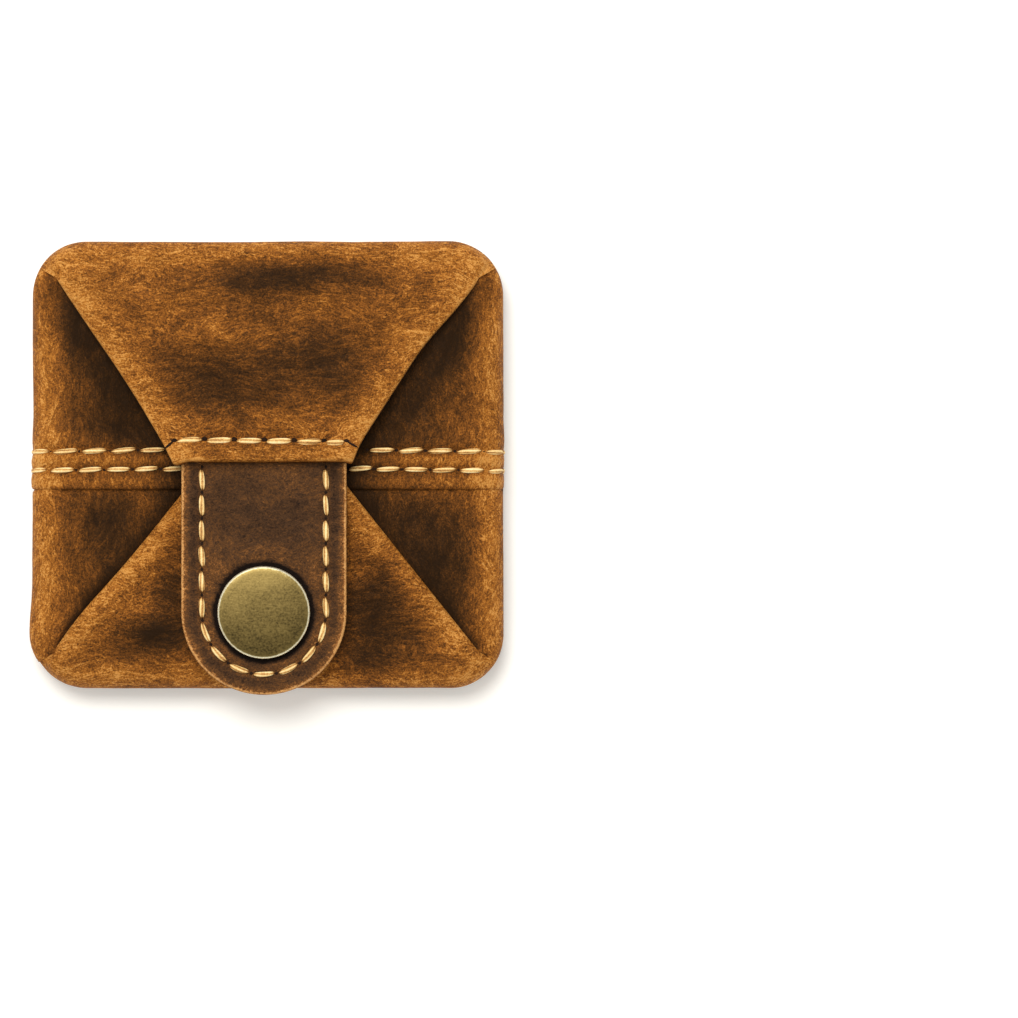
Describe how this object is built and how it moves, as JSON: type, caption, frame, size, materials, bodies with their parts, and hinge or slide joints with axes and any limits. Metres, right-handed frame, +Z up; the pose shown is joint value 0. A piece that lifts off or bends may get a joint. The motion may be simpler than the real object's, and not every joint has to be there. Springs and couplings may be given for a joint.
{
  "type": "coin purse",
  "caption": "Square leather coin purse whose four walls fold over a shallow tray and shut with a stitched snap tab.",
  "frame": {"origin": "centre of the underside of the base, on the surface that the purse lies on", "axes": "+X to the right across the side folds, +Y towards the fold of the flap, +Z up; the tab points to -Y"},
  "size_m": [0.08, 0.077, 0.0149],
  "materials": {
    "hide": "waxed pull-up leather, mottled tan and dark brown",
    "tab_hide": "waxed dark brown leather with burnished edges",
    "lining": "dark reddish brown lining leather",
    "thread": "waxed cream sewing thread",
    "antique_brass": "brushed antique brass",
    "snap_steel": "nickel-plated snap parts"
  },
  "bodies": {
    "root": {"base_outer": "hide", "base_lining": "lining"},
    "front_panel": {"front_panel_outer": "hide", "front_panel_lining": "lining", "snap_stud": "snap_steel", "snap_rivet": "snap_steel"},
    "flap": {"flap_outer": "hide", "flap_lining": "lining", "hem_stitching": "thread", "tab_root": "tab_hide"},
    "left_panel": {"left_panel_front": "hide", "left_panel_rear": "hide", "left_panel_lining": "lining", "left_seam_stitching": "thread"},
    "right_panel": {"right_panel_front": "hide", "right_panel_rear": "hide", "right_panel_lining": "lining", "right_seam_stitching": "thread"},
    "front_gussets": {"front_gussets_outer": "hide", "front_gussets_lining": "lining"},
    "back_gussets": {"back_gussets_outer": "hide", "back_gussets_lining": "lining"},
    "left_gusset": {"left_gusset_outer": "hide", "left_gusset_lining": "lining"},
    "right_gusset": {"right_gusset_outer": "hide", "right_gusset_lining": "lining"},
    "tab": {"tab_outer": "tab_hide", "tab_lining": "lining", "tab_stitching": "thread", "snap_cap": "antique_brass", "snap_socket": "snap_steel", "snap_spring": "snap_steel"}
  },
  "joints": [
    {"name": "purse_open", "type": "hinge", "parent": "root", "child": "flap", "pos_m": [0, 0.0369, 0.0089], "axis": [-1, 0, 0], "range_deg": [0, 82.4]},
    {"name": "front_open", "type": "hinge", "parent": "root", "child": "front_panel", "pos_m": [0, -0.0369, 0.0089], "axis": [1, 0, 0], "range_deg": [0, 90]},
    {"name": "left_open", "type": "hinge", "parent": "root", "child": "left_panel", "pos_m": [-0.0389, 0, 0.0089], "axis": [0, -1, 0], "range_deg": [0, 90]},
    {"name": "right_open", "type": "hinge", "parent": "root", "child": "right_panel", "pos_m": [0.0389, 0, 0.0089], "axis": [0, 1, 0], "range_deg": [0, 90]},
    {"name": "front_gussets_open", "type": "hinge", "parent": "root", "child": "front_gussets", "pos_m": [0, -0.03785, 0.00795], "axis": [1, 0, 0], "range_deg": [0, 90], "deforming": ["front_gussets_outer", "front_gussets_lining"]},
    {"name": "back_gussets_open", "type": "hinge", "parent": "root", "child": "back_gussets", "pos_m": [0, 0.03785, 0.00795], "axis": [-1, 0, 0], "range_deg": [0, 90], "deforming": ["back_gussets_outer", "back_gussets_lining"]},
    {"name": "left_gusset_open", "type": "hinge", "parent": "root", "child": "left_gusset", "pos_m": [-0.03985, 0, 0.00795], "axis": [0, -1, 0], "range_deg": [0, 90], "deforming": ["left_gusset_outer", "left_gusset_lining"]},
    {"name": "right_gusset_open", "type": "hinge", "parent": "root", "child": "right_gusset", "pos_m": [0.03985, 0, 0.00795], "axis": [0, 1, 0], "range_deg": [0, 90], "deforming": ["right_gusset_outer", "right_gusset_lining"]},
    {"name": "tab_lift", "type": "hinge", "parent": "flap", "child": "tab", "pos_m": [-0.0005, -0.0017, 0.012], "axis": [-1, 0, 0], "range_deg": [0, 60]}
  ],
  "couplings": [
    {"joint": "front_open", "follows": "purse_open", "ratio": 1.0922},
    {"joint": "left_open", "follows": "purse_open", "ratio": 1.0922},
    {"joint": "right_open", "follows": "purse_open", "ratio": 1.0922},
    {"joint": "front_gussets_open", "follows": "purse_open", "ratio": 1.0922},
    {"joint": "back_gussets_open", "follows": "purse_open", "ratio": 1.0922},
    {"joint": "left_gusset_open", "follows": "purse_open", "ratio": 1.0922},
    {"joint": "right_gusset_open", "follows": "purse_open", "ratio": 1.0922}
  ]
}
